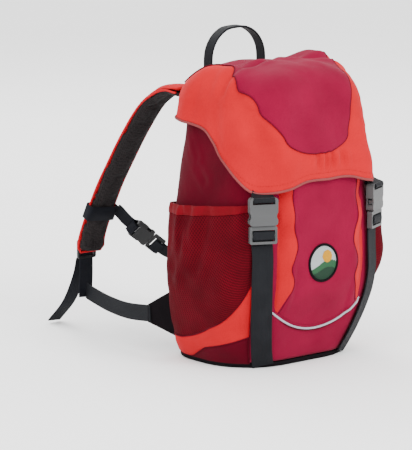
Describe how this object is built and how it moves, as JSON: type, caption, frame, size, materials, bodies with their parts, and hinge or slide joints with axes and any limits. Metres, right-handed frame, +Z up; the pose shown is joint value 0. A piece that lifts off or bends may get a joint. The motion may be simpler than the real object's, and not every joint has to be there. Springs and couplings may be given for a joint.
{
  "type": "daypack",
  "caption": "Small top-loading daypack with a buckled lid, front pocket, side net pockets, padded shoulder straps and a sternum strap.",
  "frame": {"origin": "centre of the bag's flat base", "axes": "+Z up, -Y the front with the pocket and lid buckles, +Y the wearer's back and harness, -X the wearer's left"},
  "size_m": [0.24, 0.3976, 0.382],
  "materials": {
    "crimson_fabric": "matte woven polyester",
    "coral_fabric": "matte woven polyester",
    "raspberry_fabric": "matte woven polyester",
    "black_fabric": "matte woven polyester",
    "net": "stretch net",
    "elastic": "bound elastic",
    "webbing": "woven nylon webbing",
    "buckle": "moulded acetal",
    "foam": "closed-cell foam",
    "spacer_mesh": "knitted spacer mesh",
    "reflective": "reflective piping",
    "badge": "embroidered patch",
    "eyelet": "pressed metal"
  },
  "bodies": {
    "root": {"front_panel": "crimson_fabric", "back_panel": "crimson_fabric", "side_upper_left": "crimson_fabric", "side_upper_right": "crimson_fabric", "collar": "crimson_fabric", "side_lower_left": "coral_fabric", "side_lower_right": "coral_fabric", "pocket_gussets": "coral_fabric", "pocket_panel": "raspberry_fabric", "base_panel": "black_fabric", "base_trim": "black_fabric", "wing_left": "black_fabric", "wing_right": "black_fabric", "lid_seam": "black_fabric", "side_pocket_left": "net", "side_pocket_right": "net", "pocket_bands": "elastic", "front_webbing_left": "webbing", "front_webbing_right": "webbing", "lower_webbing_left": "webbing", "lower_webbing_right": "webbing", "back_sheet": "foam", "back_pad_left": "spacer_mesh", "back_pad_right": "spacer_mesh", "pocket_piping": "reflective", "badge": "badge", "eyelets": "eyelet"},
    "lid": {"lid_cover": "coral_fabric", "lid_panel": "raspberry_fabric", "lid_tab_left": "webbing", "lid_tab_right": "webbing", "front_female_left": "buckle", "front_female_right": "buckle"},
    "haul": {"haul_loop": "webbing"},
    "buckle_left": {"front_male_left": "buckle", "front_loop_left": "webbing"},
    "prong_a_left": {"front_prong_a_left": "buckle"},
    "prong_b_left": {"front_prong_b_left": "buckle"},
    "buckle_right": {"front_male_right": "buckle", "front_loop_right": "webbing"},
    "prong_a_right": {"front_prong_a_right": "buckle"},
    "prong_b_right": {"front_prong_b_right": "buckle"},
    "strap_left": {"strap_cover_left": "coral_fabric", "strap_foam_left": "foam", "strap_lining_left": "spacer_mesh", "ladder_lock_left": "buckle"},
    "tail_left": {"strap_tail_left": "webbing"},
    "strap_right": {"strap_cover_right": "coral_fabric", "strap_foam_right": "foam", "strap_lining_right": "spacer_mesh", "ladder_lock_right": "buckle"},
    "tail_right": {"strap_tail_right": "webbing"},
    "sternum": {"sternum_keepers": "webbing", "sternum_web_left": "webbing", "sternum_web_right": "webbing", "sternum_female": "buckle"},
    "sternum_buckle": {"sternum_male": "buckle"},
    "sternum_prong_a": {"sternum_prong_a": "buckle"},
    "sternum_prong_b": {"sternum_prong_b": "buckle"}
  },
  "joints": [
    {"name": "lid_hinge", "type": "hinge", "parent": "root", "child": "lid", "pos_m": [0, 0.0775, 0.3155], "axis": [-1, 0, 0], "range_deg": [0, 95]},
    {"name": "haul_loop_fold", "type": "hinge", "parent": "lid", "child": "haul", "pos_m": [0, 0.0768, 0.318], "axis": [-1, 0, 0], "range_deg": [0, 60]},
    {"name": "front_buckle_left_release", "type": "slide", "parent": "root", "child": "buckle_left", "axis": [0, 0, -1], "range_m": [0, 0.024], "deforming": ["front_webbing_left"]},
    {"name": "front_prong_a_left", "type": "hinge", "parent": "buckle_left", "child": "prong_a_left", "pos_m": [-0.09568, -0.07672, 0.173], "axis": [0.4305, 0.9026, 0], "range_deg": [0, 10], "stiffness_Nm_per_rad": 0.05},
    {"name": "front_prong_b_left", "type": "hinge", "parent": "buckle_left", "child": "prong_b_left", "pos_m": [-0.07727, -0.08551, 0.173], "axis": [-0.4305, -0.9026, 0], "range_deg": [0, 10], "stiffness_Nm_per_rad": 0.05},
    {"name": "front_buckle_right_release", "type": "slide", "parent": "root", "child": "buckle_right", "axis": [0, 0, -1], "range_m": [0, 0.024], "deforming": ["front_webbing_right"]},
    {"name": "front_prong_a_right", "type": "hinge", "parent": "buckle_right", "child": "prong_a_right", "pos_m": [0.09568, -0.07672, 0.173], "axis": [0.4305, -0.9026, 0], "range_deg": [0, 10], "stiffness_Nm_per_rad": 0.05},
    {"name": "front_prong_b_right", "type": "hinge", "parent": "buckle_right", "child": "prong_b_right", "pos_m": [0.07727, -0.08551, 0.173], "axis": [-0.4305, 0.9026, 0], "range_deg": [0, 10], "stiffness_Nm_per_rad": 0.05},
    {"name": "strap_left_swing", "type": "hinge", "parent": "root", "child": "strap_left", "pos_m": [0, 0.077, 0.306], "axis": [-1, 0, 0], "range_deg": [-6, 8], "deforming": ["lower_webbing_left"]},
    {"name": "strap_right_swing", "type": "hinge", "parent": "root", "child": "strap_right", "pos_m": [0, 0.077, 0.306], "axis": [-1, 0, 0], "range_deg": [-6, 8], "deforming": ["lower_webbing_right"]},
    {"name": "strap_tail_left_hang", "type": "hinge", "parent": "strap_left", "child": "tail_left", "pos_m": [-0.086, 0.255, 0.087], "axis": [-1, 0, 0], "range_deg": [-38, 29]},
    {"name": "strap_tail_right_hang", "type": "hinge", "parent": "strap_right", "child": "tail_right", "pos_m": [0.086, 0.255, 0.087], "axis": [-1, 0, 0], "range_deg": [-38, 29]},
    {"name": "sternum_strap_slide", "type": "slide", "parent": "strap_left", "child": "sternum", "axis": [0, 0.3919, -0.92], "range_m": [-0.01, 0.01]},
    {"name": "sternum_buckle_release", "type": "slide", "parent": "sternum", "child": "sternum_buckle", "axis": [0.6229, -0.4694, -0.6259], "range_m": [0, 0.012], "deforming": ["sternum_web_right"]},
    {"name": "sternum_prong_a", "type": "hinge", "parent": "sternum_buckle", "child": "sternum_prong_a", "pos_m": [-0.0267, 0.19013, 0.11678], "axis": [-0.7823, -0.3737, -0.4983], "range_deg": [0, 10], "stiffness_Nm_per_rad": 0.02},
    {"name": "sternum_prong_b", "type": "hinge", "parent": "sternum_buckle", "child": "sternum_prong_b", "pos_m": [-0.0267, 0.20319, 0.10698], "axis": [0.7823, 0.3737, 0.4983], "range_deg": [0, 10], "stiffness_Nm_per_rad": 0.02}
  ],
  "couplings": [
    {"joint": "front_prong_b_left", "follows": "front_prong_a_left", "ratio": 1},
    {"joint": "front_prong_b_right", "follows": "front_prong_a_right", "ratio": 1},
    {"joint": "strap_right_swing", "follows": "strap_left_swing", "ratio": 1},
    {"joint": "strap_tail_left_hang", "follows": "strap_left_swing", "ratio": -4.5},
    {"joint": "strap_tail_right_hang", "follows": "strap_left_swing", "ratio": -4.5},
    {"joint": "sternum_prong_b", "follows": "sternum_prong_a", "ratio": 1}
  ]
}
